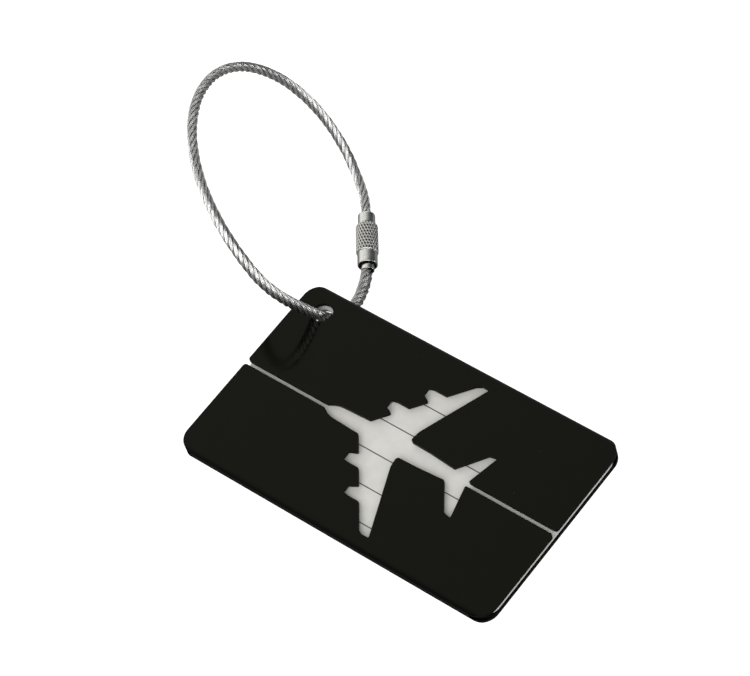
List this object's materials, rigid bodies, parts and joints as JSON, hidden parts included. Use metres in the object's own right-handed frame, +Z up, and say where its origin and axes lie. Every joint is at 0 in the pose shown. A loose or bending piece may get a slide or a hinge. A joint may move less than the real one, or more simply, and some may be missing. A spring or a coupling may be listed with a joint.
{
  "type": "luggage tag",
  "caption": "Folded metal luggage tag sleeve with an aeroplane window, a slide-in card and a screw-closed wire rope loop.",
  "frame": {"origin": "on the surface the tag lies on, below the middle of the sleeve's outline", "axes": "+X along the sleeve's length, from the hole's end to the end the card slides out of; +Y from the long edge that rests on the surface to the propped-up one; +Z up"},
  "size_m": [0.1171, 0.0823, 0.0466],
  "materials": {
    "black_aluminium": "glossy black coating",
    "card": "matt off-white with thin black ruled lines",
    "steel_cable": "bright stranded wire",
    "plated_steel": "nickel-plated, turned",
    "ferrule_metal": "bright turned"
  },
  "bodies": {
    "tag": {"sleeve": "black_aluminium"},
    "card": {"id_card": "card"},
    "loop": {"wire_cable": "steel_cable", "threaded_stud": "plated_steel"},
    "cable_end": {"end_ferrule": "ferrule_metal"},
    "barrel": {"knurled_barrel": "plated_steel"}
  },
  "joints": [
    {"name": "card_slide", "type": "slide", "parent": "tag", "child": "card", "axis": [1, 0, 0], "range_m": [0, 0.078]},
    {"name": "loop_swing", "type": "hinge", "parent": "tag", "child": "loop", "pos_m": [-0.03368, 0.01726, 0.00993], "axis": [-0.2407, -0.6328, 0.736], "range_deg": [-110, 0]},
    {"name": "connector_draw", "type": "slide", "parent": "loop", "child": "cable_end", "axis": [0.6228, -0.7519, -0.2164], "range_m": [0, 0.002]},
    {"name": "barrel_turn", "type": "hinge", "parent": "cable_end", "child": "barrel", "pos_m": [-0.0495, 0.0504, 0.005], "axis": [0.6228, -0.7519, -0.2164], "range_deg": [0, 1440]}
  ],
  "couplings": [
    {"joint": "barrel_turn", "follows": "connector_draw", "rad_per_m": 12566}
  ]
}
